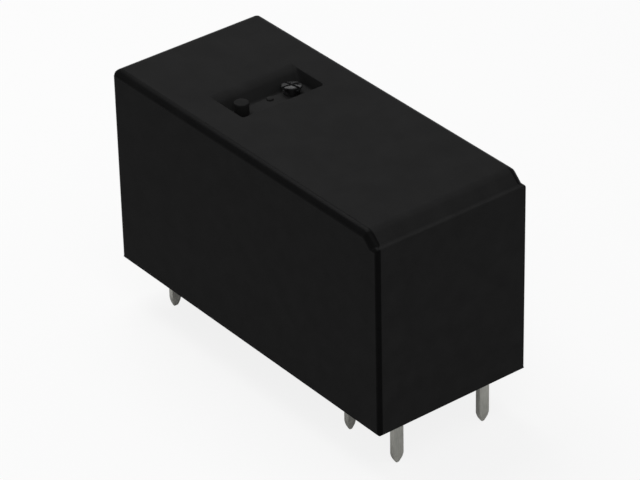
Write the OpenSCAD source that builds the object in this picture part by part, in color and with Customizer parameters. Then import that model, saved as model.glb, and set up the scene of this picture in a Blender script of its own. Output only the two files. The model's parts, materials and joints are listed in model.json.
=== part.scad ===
// Power relay for a printed circuit board: one normally open contact pair in a sealed cover.
// The origin is the centre of the cover's lower rim, on the board. +X points to the contact end,
// +Z points up, and the coil lies along X at the other end.

/* [Cover] */
// Length of the cover over its two ends
cover_l = 29; // [27.5:0.1:32]
// Width of the cover over its long sides
cover_w = 12.7; // [12:0.1:15]
// Height of the cover above the board
cover_h = 15.3; // [14.5:0.1:18]
// Thickness of the cover's upright walls
cover_wall = 0.7; // [0.5:0.05:0.8]
// Thickness of the cover's roof and of the pocket's floor
cover_roof = 0.9; // [0.6:0.05:1.2]
// Radius of the cover's upright edges
side_r = 0.35; // [0.2:0.05:0.7]
// Radius of the cover's upper edges along both sides and at the coil end
top_r = 0.55; // [0.3:0.05:0.8]
// Length of the slope on the contact end's upper edge
slope_run = 0.9; // [0.6:0.05:1.6]
// Height of that slope
slope_drop = 0.85; // [0.6:0.05:1.5]
// Width of the ledge between that slope and the contact end
ledge_w = 0.3; // [0.2:0.05:0.5]
// Radius of the ledge's outer edge
ledge_r = 0.15; // [0.1:0.05:0.2]

/* [Vent pocket] */
// Distance of the pocket from the cover's coil end
pocket_inset = 7.85; // [6:0.05:10]
// Length of the pocket along the cover
pocket_l = 3.35; // [3:0.05:5]
// Width of the pocket across the cover
pocket_w = 7; // [6:0.1:8]
// Depth of the pocket below the cover's top
pocket_depth = 1.1; // [1:0.05:1.5]
// Radius of the pocket's upright corners
pocket_r = 0.3; // [0.15:0.05:0.6]
// Radius of the pocket's upper edge at the coil end
lip_r = 0.4; // [0.2:0.05:0.6]
// How far the peg and the nib stand behind the pocket's middle
stand_back = 0.35; // [0:0.05:0.4]
// Diameter of the peg
peg_d = 1.05; // [0.8:0.05:1.6]
// Height of the peg above the pocket's floor
peg_h = 0.9; // [0.6:0.05:1]
// Distance of the peg from the cover's centre plane
peg_off = 2.1; // [1.5:0.1:2.6]
// Diameter of the nib across its flared top
nib_top_d = 1.6; // [1.4:0.05:2]
// Diameter of the nib at the pocket's floor
nib_foot_d = 1.1; // [0.9:0.05:1.3]
// Height of the nib above the pocket's floor
nib_h = 0.7; // [0.5:0.05:0.95]
// Distance of the nib from the cover's centre plane
nib_off = 2.2; // [1.4:0.1:2.4]
// Width of the cross-shaped split in the nib's top
split_w = 0.25; // [0.15:0.05:0.4]
// Depth of that split
split_depth = 0.3; // [0.15:0.05:0.45]
// Diameter of the gate mark between peg and nib
gate_d = 0.5; // [0.3:0.05:0.8]
// Height of the gate mark above the pocket's floor
gate_h = 0.25; // [0.15:0.05:0.4]
// Distance of the gate mark from the cover's centre plane
gate_off = 0.5; // [0:0.1:0.8]
// How far the gate mark stands behind the peg and the nib
gate_back = 0.25; // [0:0.05:0.5]

/* [Base] */
// Height of the sealing resin's lower face above the board
resin_recess = 0.2; // [0.1:0.05:0.4]
// Thickness of the sealing resin
resin_t = 0.5; // [0.3:0.05:0.7]
// Thickness of the base plate
base_t = 1.3; // [1:0.05:1.6]
// Radius of the base plate's corners
base_r = 0.4; // [0.2:0.05:0.8]
// Thickness of the barrier wall between coil and contacts
barrier_t = 0.8; // [0.6:0.05:1.2]
// Height of the posts that hold the common terminal, above the base plate
post_h = 2.2; // [1.5:0.1:2.8]
// Length of those posts along the cover
post_l = 1.8; // [1.4:0.1:2.4]
// How far those posts reach over the common terminal's ends
post_grip = 0.5; // [0.3:0.05:0.8]

/* [Pins] */
// Distance between the two rows of pins
row_pitch = 7.5; // [7.2:0.05:7.8]
// Distance between the two pairs of contact pins
contact_pitch = 5; // [4.6:0.05:5.5]
// Distance of the outer contact pins from the cover's contact end
contact_inset = 1.4; // [1.3:0.05:1.55]
// Distance of the coil pins from the cover's coil end
coil_inset = 2.6; // [2.4:0.05:2.9]
// Length of the pins below the board
pin_below = 3.95; // [2.5:0.05:4.5]
// Thickness of the terminals' sheet
sheet_t = 0.45; // [0.35:0.05:0.6]
// Width of an outer contact pin
contact_pin_w = 0.85; // [0.7:0.05:1]
// Width of a common contact pin
com_pin_w = 0.7; // [0.6:0.05:0.85]
// Width of a contact pin's end
contact_tip_w = 0.2; // [0.15:0.05:0.5]
// Width of a coil pin
coil_pin_w = 0.75; // [0.65:0.05:0.85]
// Width of a coil pin's end
coil_tip_w = 0.35; // [0.2:0.05:0.55]
// Thickness of a pin's end
tip_t = 0.2; // [0.1:0.05:0.3]
// Length of the taper at a pin's end
tip_l = 0.55; // [0.3:0.05:1]
// Height of the common terminal's plate above the base plate
com_plate_h = 3.2; // [3:0.1:3.6]

/* [Magnet] */
// Thickness of the yoke's iron
yoke_t = 1.2; // [1:0.05:1.4]
// Width of the yoke
yoke_w = 6; // [5:0.1:6]
// Height of the yoke's upright above the coil's axis
yoke_rise = 3; // [2.4:0.1:3.6]
// Diameter of the core
core_d = 2.8; // [2.6:0.1:3.2]
// Diameter of the core's pole disc
pole_d = 5.4; // [4.5:0.1:5.8]
// Thickness of the pole disc
pole_t = 0.7; // [0.5:0.05:0.9]
// Diameter of the core's riveted neck
neck_d = 2; // [1.6:0.1:2.3]
// Diameter of the riveted head
head_d = 3.2; // [2.8:0.1:3.8]
// Height of the riveted head
head_h = 0.35; // [0.2:0.05:0.5]
// Length of the winding between the bobbin's flanges
winding_l = 10.4; // [9:0.1:11.5]
// Thickness of the bobbin's flanges
flange_t = 0.8; // [0.6:0.05:1]
// Width of the bobbin's flanges
flange_w = 8.4; // [7.8:0.1:9.5]
// Radius of the flanges' corners
flange_r = 0.8; // [0.4:0.1:1.2]
// Wall of the bobbin's tube
tube_wall = 0.4; // [0.3:0.05:0.6]
// How far the flanges stand out over the winding
flange_lip = 0.25; // [0.2:0.05:0.6]
// Height of the bobbin's terminal ears above the base plate
ear_h = 3; // [2.5:0.1:3.2]
// Wall of an ear around its coil pin
ear_wall = 0.3; // [0.2:0.02:0.3]
// Height of a coil pin's wire post above its ear
wire_post_h = 1.4; // [1:0.1:1.6]
// Width of that wire post
wire_post_w = 0.5; // [0.4:0.05:0.6]
// Diameter of the coil's wire
wire_d = 0.12; // [0.08:0.01:0.16]
// Turns of wire on each wire post
wire_turns = 4; // [2:1:5]
// Thickness of the tape over the winding
tape_t = 0.1; // [0.06:0.02:0.16]
// Length of winding that the tape leaves bare beside the leads
tape_bare = 1.2; // [1:0.1:2]
// Thickness of the armature's iron
armature_t = 1.1; // [0.9:0.05:1.2]
// Width of the armature
armature_w = 5.6; // [5:0.1:5.7]
// Width of the armature's tongue
tongue_w = 2; // [1.6:0.1:2.2]
// How far the tongue reaches above the card
tongue_over = 0.2; // [0.1:0.05:0.5]
// How far the armature reaches below its axis
heel = 0.25; // [0.15:0.02:0.3]
// Angle by which the armature stands open at rest
open_angle = 5; // [4:0.1:5.5]
// Thickness of the hinge spring
leaf_t = 0.15; // [0.1:0.01:0.2]
// Width of the hinge spring
leaf_w = 3; // [2:0.1:4]
// Length of the hinge spring under the yoke
leaf_l = 5; // [3:0.1:7]
// Height of the hinge spring behind the armature, above the armature's axis
leaf_h = 1.2; // [0.8:0.1:2]

/* [Card and contacts] */
// Thickness of the actuator card
card_t = 1; // [0.8:0.05:1.2]
// Width of the actuator card
card_w = 4; // [3.6:0.1:4.6]
// Length of the card's prongs beside the tongue
prong_l = 0.8; // [0.5:0.05:0.9]
// Width of the bobbin's guides beside the card
guide_w = 0.5; // [0.4:0.05:0.7]
// Thickness of the moving contact's spring
spring_t = 0.2; // [0.12:0.02:0.26]
// Width of that spring at its foot
spring_foot_w = 5; // [4.4:0.1:6]
// Width of that spring at its tip
spring_tip_w = 3.6; // [3.4:0.1:4.2]
// Height of the spring's foot above the base plate
spring_lift = 0.4; // [0.2:0.05:0.6]
// How far the spring's tip reaches above the card
spring_over = 0.3; // [0.1:0.05:0.4]
// Distance of the contacts' axis below the card
contact_drop = 1.85; // [1.6:0.05:2.4]
// Diameter of the moving contact's head
moving_d = 2.8; // [2.2:0.1:2.8]
// Thickness of the moving contact's head
moving_t = 0.8; // [0.6:0.05:1]
// Radius of the moving contact's domed face
dome_r = 4; // [3:0.1:6]
// Diameter of the fixed contact's head
fixed_d = 3; // [2.4:0.1:3.2]
// Thickness of the fixed contact's head
fixed_t = 0.6; // [0.4:0.05:0.7]
// Diameter of both contacts' shanks
shank_d = 1.4; // [1:0.1:1.6]
// Diameter of both contacts' riveted tails
tail_d = 2; // [1.8:0.1:2.2]
// Height of those tails
tail_h = 0.35; // [0.2:0.05:0.4]
// Distance of each spring rivet from the centre plane
rivet_off = 1.4; // [1.1:0.1:1.6]
// Diameter of a spring rivet's shank
rivet_d = 0.9; // [0.7:0.05:1]
// Diameter of a spring rivet's heads
rivet_head_d = 1.5; // [1.3:0.05:1.6]
// Height of a spring rivet's heads
rivet_head_h = 0.25; // [0.15:0.05:0.35]
// How far the fixed contact's plate reaches past the contact's head
plate_margin = 0.6; // [0.4:0.05:0.8]

/* [Clearances] */
// Gap around pieces that are set into one another
fit = 0.05; // [0.02:0.01:0.08]
// Gap around pieces that slide
run = 0.15; // [0.1:0.01:0.2]
// Gap between the armature and the yoke's nose
nose_gap = 0.03; // [0.02:0.01:0.06]
// Gap left between armature and pole when closed
pole_gap = 0.05; // [0.03:0.01:0.1]
// Gap at the card's two ends at rest, and between the closed contacts
touch_gap = 0.05; // [0.03:0.01:0.08]
// Gap between the open armature and the cover's end wall
stop_gap = 0.25; // [0.15:0.05:0.4]
// Gap between the hinge spring and the armature
leaf_gap = 0.1; // [0.08:0.01:0.15]
// Gap between the card and the pocket's floor above it
roof_gap = 0.6; // [0.4:0.05:0.8]
// Gap between the core's riveted head and the barrier wall
barrier_gap = 0.4; // [0.2:0.05:0.8]
// Gap between the barrier wall and the cover's roof
barrier_top_gap = 0.3; // [0.1:0.05:0.6]

/* [Hidden] */
$fn = 48;

// Sides of the two rows of pins
SIDES = [-1, 1];
// Length that reaches past the whole relay, for cuts
past = 2 * cover_l;

// Inside of the cover
in_x = cover_l / 2 - cover_wall;
in_y = cover_w / 2 - cover_wall;
roof_z = cover_h - cover_roof;
pocket_floor_z = cover_h - pocket_depth;
pocket_x0 = -cover_l / 2 + pocket_inset;
pocket_mid_x = pocket_x0 + pocket_l / 2;
stand_x = pocket_mid_x - stand_back;

// Where the slope meets the ledge
ledge_x = cover_l / 2 - ledge_w;
ledge_z = cover_h - slope_drop;

// Heights of the stack, from the board up to the pocket's floor
base_z0 = resin_recess + resin_t;
base_top = base_z0 + base_t;
yoke_top = base_top + yoke_t;
card_z1 = pocket_floor_z - cover_roof - roof_gap;
card_z0 = card_z1 - card_t;
flange_top = card_z0 - run;
flange_h = flange_top - yoke_top;
axis_z = yoke_top + flange_h / 2;
coil_d = min(flange_h, flange_w) - 2 * flange_lip;
tube_d = core_d + 2 * fit + 2 * tube_wall;

// Places of the pins
no_x = cover_l / 2 - contact_inset;
com_x = no_x - contact_pitch;
coil_x = -cover_l / 2 + coil_inset;
row_y = row_pitch / 2;
plate_half = row_y + contact_pin_w / 2;

// Armature: it turns about the centre of the yoke's round nose
nose_r = yoke_t / 2;
hinge_z = base_top + nose_r;
face_off = nose_r + nose_gap;
back_off = face_off + armature_t;
tongue_z = card_z1 + tongue_over;
hinge_x = -in_x + stop_gap + back_off * cos(open_angle) + (tongue_z - hinge_z) * sin(open_angle);
closed_face_x = hinge_x - face_off;
shoulder_z = card_z0 - 2 * run;

// Places along the coil's axis
pole_x = closed_face_x + pole_gap;
flange1_x = pole_x + pole_t;
winding_x = flange1_x + flange_t;
flange2_x = winding_x + winding_l;
upright_x = flange2_x + flange_t;
head_x = upright_x + yoke_t;
barrier_x = head_x + head_h + barrier_gap;
ear_top = base_top + ear_h;
wrap_r = norm([sheet_t, wire_post_w]) / 2 + fit + wire_d / 2;
lead_z = ear_top + wire_post_h / 2;

// Card, moving spring and contacts
push_x = leaning_x(face_off, card_z0) + touch_gap;
stroke = closed_face_x - leaning_x(face_off, card_z0);
spring_x = com_x + sheet_t / 2;
nose_x = spring_x - touch_gap;
nose_z = (card_z0 + card_z1) / 2;
flex_x = spring_x + spring_t / 2;
flex_z = base_top + com_plate_h;
flex_angle = stroke / (nose_z - flex_z) * 180 / PI;
contact_z = card_z0 - contact_drop;
moving_x = spring_x + spring_t;
rivet_z = (base_top + spring_lift + flex_z) / 2;
spring_tip_z = card_z1 + spring_over;

// The fixed contact stands where the swung dome comes to rest
dome_x = moving_x + moving_t - dome_r - flex_x;
fixed_x = flex_x + dome_x * cos(flex_angle) + (contact_z - flex_z) * sin(flex_angle) + dome_r + touch_gap;
plate_x = fixed_x + fixed_t;

// Place at height z of a plane that leans with the open armature, offset from its axis
function leaning_x(offset, z) = hinge_x - (offset + (z - hinge_z) * sin(open_angle)) / cos(open_angle);

// Box between two corners
module block(low, high) {
    translate(low) cube(high - low);
}

// Box that is centred across the relay
module centred_block(x0, x1, width, z0, z1) {
    block([x0, -width / 2, z0], [x1, width / 2, z1]);
}

// Rectangle with round corners, about its centre
module round_rect(length, width, radius) {
    square([length - 2 * radius, width], center = true);
    square([length, width - 2 * radius], center = true);
    for (x = SIDES, y = SIDES)
        translate([x * (length / 2 - radius), y * (width / 2 - radius)]) circle(radius);
}

// Sheet with a drawn outline of y and z, from x onwards
module across(x, thickness) {
    translate([x, 0, 0]) rotate([90, 0, 90]) linear_extrude(thickness) children();
}

// Bar with a drawn outline of x and z, centred across the relay
module along(width) {
    rotate([90, 0, 0]) linear_extrude(width, center = true) children();
}

// Round bar along the coil's axis direction
module rod_x(x, y, z, diameter, length) {
    translate([x, y, z]) rotate([0, 90, 0]) cylinder(d = diameter, h = length);
}

// Round wire between two points
module wire(from, to, diameter) {
    run_v = to - from;
    translate(from)
        rotate([0, acos(run_v.z / norm(run_v)), atan2(run_v.y, run_v.x)])
            cylinder(d = diameter, h = norm(run_v));
}

// Front or side view of a pin that hangs from a height down to its tapered end
module pin_outline(place, width, tip_width, from_z) {
    translate([place, 0])
        polygon([
            [-width / 2, from_z], [width / 2, from_z],
            [width / 2, -pin_below + tip_l], [tip_width / 2, -pin_below],
            [-tip_width / 2, -pin_below], [-width / 2, -pin_below + tip_l]
        ]);
}

// Pin that tapers both in width and in thickness
module pin(x, y, width, tip_width, from_z) {
    intersection() {
        across(x - sheet_t / 2, sheet_t) pin_outline(y, width, tip_width, from_z);
        translate([0, y, 0]) along(width) pin_outline(x, sheet_t, tip_t, from_z);
    }
}

// Pair of contact pins, one in each row
module contact_pins(x, width) {
    for (side = SIDES)
        pin(x, side * row_y, width, contact_tip_w, base_top + sheet_t);
}

// Outer corner that a bend about (x, z) rounds off, on the side of the given signs
module bend_cut(x, z, radius, side_x, side_z) {
    translate([x, 0, z]) difference() {
        translate([side_x * radius, 0, side_z * radius])
            cube([2 * radius, cover_w, 2 * radius], center = true);
        rotate([90, 0, 0]) cylinder(r = radius, h = past, center = true);
    }
}

// Openings for the six pins, wider than the pins by a gap all round
module pin_cuts(gap) {
    thick = sheet_t + 2 * gap;
    for (side = SIDES) {
        translate([com_x, side * row_y, 0]) cube([thick, com_pin_w + 2 * gap, past], center = true);
        translate([no_x, side * row_y, 0]) cube([thick, contact_pin_w + 2 * gap, past], center = true);
        translate([coil_x, side * row_y, 0]) cube([thick, coil_pin_w + 2 * gap, past], center = true);
    }
}

// Side view of all that lies under the contact end's slope, moved inwards by inset
module below_slope(inset) {
    translate([ledge_x - slope_run / 2, cover_h - slope_drop / 2])
        rotate(-atan2(slope_drop, slope_run))
            translate([-past, -2 * past - inset]) square(2 * past);
}

// Side view of the cover: a round upper edge at the coil end, a slope and a ledge at the contact end
module cover_side() {
    intersection() {
        union() {
            translate([-cover_l / 2, 0]) square([cover_l, cover_h - top_r]);
            translate([-cover_l / 2 + top_r, 0]) square([cover_l - top_r, cover_h]);
            translate([-cover_l / 2 + top_r, cover_h - top_r]) circle(top_r);
        }
        union() {
            below_slope(0);
            translate([-past, 0]) square([past + cover_l / 2, ledge_z - ledge_r]);
            translate([-past, 0]) square([past + cover_l / 2 - ledge_r, ledge_z]);
            translate([cover_l / 2 - ledge_r, ledge_z - ledge_r]) circle(ledge_r);
        }
    }
}

// End view of the cover, with both upper edges round
module cover_end() {
    translate([-cover_w / 2, 0]) square([cover_w, cover_h - top_r]);
    translate([-cover_w / 2 + top_r, 0]) square([cover_w - 2 * top_r, cover_h]);
    for (side = SIDES) translate([side * (cover_w / 2 - top_r), cover_h - top_r]) circle(top_r);
}

// Outside of the cover
module cover_outside() {
    intersection() {
        linear_extrude(cover_h) round_rect(cover_l, cover_w, side_r);
        along(cover_w) cover_side();
        across(-cover_l / 2, cover_l) cover_end();
    }
}

// Hollow of the cover, open at the board and with the pocket's tub hanging into it
module cover_inside() {
    difference() {
        along(2 * in_y) intersection() {
            translate([-in_x, -cover_h]) square([2 * in_x, cover_h + roof_z]);
            below_slope(cover_wall);
        }
        centred_block(
            pocket_x0 - cover_wall, pocket_x0 + pocket_l + cover_wall,
            pocket_w + 2 * cover_wall, pocket_floor_z - cover_roof, cover_h
        );
    }
}

// Nib with a flared top that is split crosswise
module nib() {
    difference() {
        cylinder(d1 = nib_foot_d, d2 = nib_top_d, h = nib_h);
        for (turn = [0, 90])
            rotate(turn) translate([-nib_top_d, -split_w / 2, nib_h - split_depth])
                cube([2 * nib_top_d, split_w, nib_h]);
    }
}

// Strip above the round lip of the pocket's edge at the coil end
module lip_cut() {
    difference() {
        centred_block(pocket_x0 - lip_r, pocket_x0 + lip_r, pocket_w - 2 * pocket_r, cover_h - lip_r, past);
        translate([pocket_x0 - lip_r, 0, cover_h - lip_r])
            rotate([90, 0, 0]) cylinder(r = lip_r, h = cover_w, center = true);
    }
}

module cover() {
    color("#26262a") {
        difference() {
            cover_outside();
            cover_inside();
            translate([pocket_mid_x, 0, pocket_floor_z])
                linear_extrude(cover_h) round_rect(pocket_l, pocket_w, pocket_r);
            lip_cut();
        }
        translate([stand_x, -peg_off, pocket_floor_z - cover_roof / 2])
            cylinder(d = peg_d, h = peg_h + cover_roof / 2);
        translate([stand_x, nib_off, pocket_floor_z]) nib();
        translate([stand_x - gate_back, gate_off, pocket_floor_z - cover_roof / 2])
            cylinder(d = gate_d, h = gate_h + cover_roof / 2);
    }
}

// Posts that grip the common terminal's two ends
module com_posts() {
    for (side = SIDES) {
        inner_y = plate_half - post_grip;
        outer_y = in_y - fit;
        translate([com_x - post_l / 2, min(side * inner_y, side * outer_y), base_z0])
            cube([post_l, outer_y - inner_y, base_t + post_h]);
    }
}

module base() {
    color("#2f2f33")
        difference() {
            union() {
                translate([0, 0, base_z0]) linear_extrude(base_t)
                    round_rect(2 * (in_x - fit), 2 * (in_y - fit), base_r);
                centred_block(
                    barrier_x, barrier_x + barrier_t, 2 * (in_y - fit), base_z0, roof_z - barrier_top_gap
                );
                com_posts();
            }
            pin_cuts(fit);
            // Slot for the common terminal's plate between the posts
            centred_block(
                com_x - sheet_t / 2 - fit, com_x + sheet_t / 2 + fit,
                2 * (plate_half + fit), base_top, past
            );
            // Notches that let the outer contact pins in from the plate's end
            for (side = SIDES)
                translate([no_x - sheet_t / 2 - fit, side * row_y - contact_pin_w / 2 - fit, 0])
                    cube([past, contact_pin_w + 2 * fit, base_top + base_t]);
            // Window for the card
            centred_block(
                barrier_x - run, barrier_x + barrier_t + run, card_w + 2 * run, card_z0 - run, card_z1 + run
            );
            // Groove for the hinge spring
            centred_block(
                -past, hinge_x + leaf_l + fit, leaf_w + 2 * fit, base_top - leaf_t, past
            );
        }
}

module sealing_resin() {
    color("#3c3328")
        difference() {
            centred_block(-in_x, in_x, 2 * in_y, resin_recess, base_z0);
            pin_cuts(0);
        }
}

module com_terminal() {
    color("#a8a9a2")
        difference() {
            union() {
                centred_block(
                    com_x - sheet_t / 2, com_x + sheet_t / 2, 2 * plate_half, base_top, flex_z
                );
                contact_pins(com_x, com_pin_w);
            }
            for (side = SIDES)
                rod_x(com_x - sheet_t, side * rivet_off, rivet_z, rivet_d + 2 * fit, 2 * sheet_t);
        }
}

module no_terminal() {
    top_half = fixed_d / 2 + plate_margin;
    top_z = contact_z + top_half;
    color("#a8a9a2")
        difference() {
            union() {
                contact_pins(no_x, contact_pin_w);
                centred_block(plate_x, no_x + sheet_t / 2, 2 * plate_half, base_top, base_top + sheet_t);
                across(plate_x, sheet_t) {
                    polygon([
                        [-plate_half, base_top], [plate_half, base_top],
                        [top_half, contact_z], [-top_half, contact_z]
                    ]);
                    translate([0, contact_z]) circle(top_half);
                }
            }
            rod_x(plate_x - sheet_t, 0, contact_z, shank_d + 2 * fit, 3 * sheet_t);
            bend_cut(no_x - sheet_t / 2, base_top, sheet_t, 1, 1);
            bend_cut(plate_x + sheet_t, base_top + sheet_t, sheet_t, -1, -1);
        }
}

// Coil pin with a narrower post for the wire above the bobbin's ear
module coil_terminal(side) {
    color("#a8a9a2") {
        pin(coil_x, side * row_y, coil_pin_w, coil_tip_w, ear_top);
        translate([coil_x - sheet_t / 2, side * row_y - wire_post_w / 2, base_top])
            cube([sheet_t, wire_post_w, ear_h + wire_post_h]);
    }
}

module coil_terminal_1() {
    coil_terminal(-1);
}

module coil_terminal_2() {
    coil_terminal(1);
}

// Flange of the bobbin, with two guides for the card on top
module flange(x) {
    across(x, flange_t)
        translate([0, axis_z]) round_rect(flange_w, flange_h, flange_r);
    for (side = SIDES)
        translate([x, side * (card_w / 2 + run + guide_w / 2) - guide_w / 2, axis_z])
            cube([flange_t, guide_w, card_z1 - axis_z]);
}

module bobbin() {
    ear_w = coil_pin_w + 2 * ear_wall;
    ear_x = coil_x - sheet_t / 2 - ear_wall;
    color("#d8d2c0")
        difference() {
            union() {
                flange(flange1_x);
                flange(flange2_x);
                rod_x(flange1_x, 0, axis_z, tube_d, winding_l + 2 * flange_t);
                for (side = SIDES)
                    translate([ear_x, side * row_y - ear_w / 2, base_top])
                        cube([winding_x - ear_x, ear_w, ear_h]);
            }
            rod_x(flange1_x - fit, 0, axis_z, core_d + 2 * fit, winding_l + 2 * flange_t + 2 * fit);
            for (side = SIDES) {
                translate([coil_x, side * row_y, base_top])
                    cube([sheet_t + 2 * fit, coil_pin_w + 2 * fit, past], center = true);
                // Notch that the lead passes through
                translate([flange1_x - fit, side * (row_y + flange_w / 2) - flange_w / 2, lead_z])
                    translate([0, -side * 2 * wrap_r, -wrap_r])
                        cube([flange_t + 2 * fit, flange_w, 2 * wrap_r]);
            }
        }
}

// Turns of wire around a coil pin's post
module wire_wrap(side) {
    translate([coil_x, side * row_y, lead_z - wire_turns * wire_d / 2])
        rotate_extrude() {
            translate([wrap_r - wire_d / 2, 0]) square([wire_d / 2, wire_turns * wire_d]);
            for (turn = [0 : wire_turns - 1])
                translate([wrap_r, (turn + 0.5) * wire_d]) circle(d = wire_d);
        }
}

module coil_winding() {
    lead_r = coil_d / 2 - wire_d;
    lead_y = sqrt(lead_r ^ 2 - (axis_z - lead_z) ^ 2);
    color("#b5652f") {
        difference() {
            rod_x(winding_x + fit, 0, axis_z, coil_d, winding_l - 2 * fit);
            rod_x(winding_x - fit, 0, axis_z, tube_d + 2 * fit, winding_l + 2 * fit);
        }
        for (side = SIDES) {
            wire(
                [winding_x + tape_bare / 2, side * lead_y, lead_z],
                [coil_x, side * (row_y - wrap_r), lead_z], wire_d
            );
            wire_wrap(side);
        }
    }
}

module coil_tape() {
    length = winding_l - tape_bare - fit;
    inner_d = coil_d + 2 * fit;
    color("#d9b44a")
        difference() {
            rod_x(winding_x + tape_bare, 0, axis_z, inner_d + 2 * tape_t, length);
            rod_x(winding_x + tape_bare - fit, 0, axis_z, inner_d, length + 2 * fit);
        }
}

module core() {
    color("#9a9c9e") {
        rod_x(pole_x, 0, axis_z, pole_d, pole_t);
        rod_x(pole_x, 0, axis_z, core_d, upright_x - pole_x);
        rod_x(pole_x, 0, axis_z, neck_d, head_x + head_h - pole_x);
        rod_x(head_x, 0, axis_z, head_d, head_h);
    }
}

module yoke() {
    color("#8d8f92")
        difference() {
            along(yoke_w) {
                translate([hinge_x, hinge_z]) circle(nose_r);
                translate([hinge_x, base_top]) square([head_x - hinge_x, yoke_t]);
                translate([upright_x, base_top]) square([yoke_t, axis_z + yoke_rise - base_top]);
            }
            rod_x(upright_x - fit, 0, axis_z, neck_d + 2 * fit, yoke_t + 2 * fit);
            bend_cut(upright_x, yoke_top, yoke_t, 1, -1);
        }
}

// Armature as it lies when closed, about its axis
module closed_armature() {
    across(-back_off, armature_t) {
        translate([-armature_w / 2, -heel]) square([armature_w, shoulder_z - hinge_z + heel]);
        translate([-tongue_w / 2, -heel]) square([tongue_w, tongue_z - hinge_z + heel]);
    }
}

module armature() {
    color("#85878a")
        translate([hinge_x, 0, hinge_z]) rotate([0, -open_angle, 0]) closed_armature();
}

module hinge_spring() {
    low_z = base_top - leaf_t;
    high_z = hinge_z + leaf_h;
    low_x = leaning_x(back_off + leaf_gap, low_z);
    high_x = leaning_x(back_off + leaf_gap, high_z);
    color("#b98d45")
        along(leaf_w) {
            translate([low_x - leaf_t, low_z]) square([hinge_x + leaf_l - low_x + leaf_t, leaf_t]);
            polygon([[low_x - leaf_t, low_z], [low_x, low_z], [high_x, high_z], [high_x - leaf_t, high_z]]);
        }
}

module actuator_card() {
    gap_half = tongue_w / 2 + run;
    color("#e3e1d8") {
        centred_block(push_x, nose_x - card_t / 2, card_w, card_z0, card_z1);
        // Rounded nose that pushes the spring
        translate([nose_x - card_t / 2, 0, nose_z])
            rotate([90, 0, 0]) cylinder(d = card_t, h = card_w, center = true);
        // Prongs on both sides of the armature's tongue
        for (side = SIDES)
            translate([push_x - prong_l, min(side * gap_half, side * card_w / 2), card_z0])
                cube([prong_l + card_t, card_w / 2 - gap_half, card_t]);
    }
}

module moving_spring() {
    foot_z = base_top + spring_lift;
    color("#c08a4a")
        difference() {
            across(spring_x, spring_t)
                polygon([
                    [-spring_foot_w / 2, foot_z], [spring_foot_w / 2, foot_z],
                    [spring_foot_w / 2, flex_z], [spring_tip_w / 2, contact_z],
                    [spring_tip_w / 2, spring_tip_z], [-spring_tip_w / 2, spring_tip_z],
                    [-spring_tip_w / 2, contact_z], [-spring_foot_w / 2, flex_z]
                ]);
            rod_x(spring_x - spring_t, 0, contact_z, shank_d + 2 * fit, 3 * spring_t);
            for (side = SIDES)
                rod_x(spring_x - spring_t, side * rivet_off, rivet_z, rivet_d + 2 * fit, 3 * spring_t);
        }
}

// Contact rivet: a head on one side of its sheet and a tail on the other
module moving_contact() {
    color("#c9c9c4") {
        translate([moving_x, 0, contact_z]) rotate([0, 90, 0])
            rotate_extrude() intersection() {
                square([moving_d / 2, moving_t]);
                translate([0, moving_t - dome_r]) circle(dome_r);
            }
        rod_x(spring_x - tail_h, 0, contact_z, shank_d, tail_h + spring_t + moving_t / 2);
        rod_x(spring_x - tail_h, 0, contact_z, tail_d, tail_h);
    }
}

// Rivet through the common terminal and the spring's foot
module spring_rivet(side) {
    back_x = com_x - sheet_t / 2;
    color("#a8a9a2") {
        rod_x(back_x - rivet_head_h, side * rivet_off, rivet_z, rivet_head_d, rivet_head_h);
        rod_x(back_x - rivet_head_h, side * rivet_off, rivet_z, rivet_d, moving_x - back_x + 2 * rivet_head_h);
        rod_x(moving_x, side * rivet_off, rivet_z, rivet_head_d, rivet_head_h);
    }
}

module spring_rivet_1() {
    spring_rivet(-1);
}

module spring_rivet_2() {
    spring_rivet(1);
}

module no_contact() {
    color("#c9c9c4") {
        rod_x(fixed_x, 0, contact_z, fixed_d, fixed_t);
        rod_x(fixed_x, 0, contact_z, shank_d, fixed_t + sheet_t + tail_h);
        rod_x(plate_x + sheet_t, 0, contact_z, tail_d, tail_h);
    }
}

cover();
base();
sealing_resin();
com_terminal();
no_terminal();
coil_terminal_1();
coil_terminal_2();
bobbin();
coil_winding();
coil_tape();
core();
yoke();
armature();
hinge_spring();
actuator_card();
moving_spring();
moving_contact();
spring_rivet_1();
spring_rivet_2();
no_contact();
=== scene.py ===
# %% [markdown]
# # A sealed power relay for a circuit board
# The real object is a black moulded cover over a coil, an armature and a pair of contacts, with six
# tinned pins below. Its solids come ready made, at their real size and in their real places. This
# lesson gives them their looks: it models the pieces again with the soft edges and small forms that
# real ones have, and gives every piece a finish of its own.

import json
import math

import bmesh
import bpy
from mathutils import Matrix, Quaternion, Vector


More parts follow.
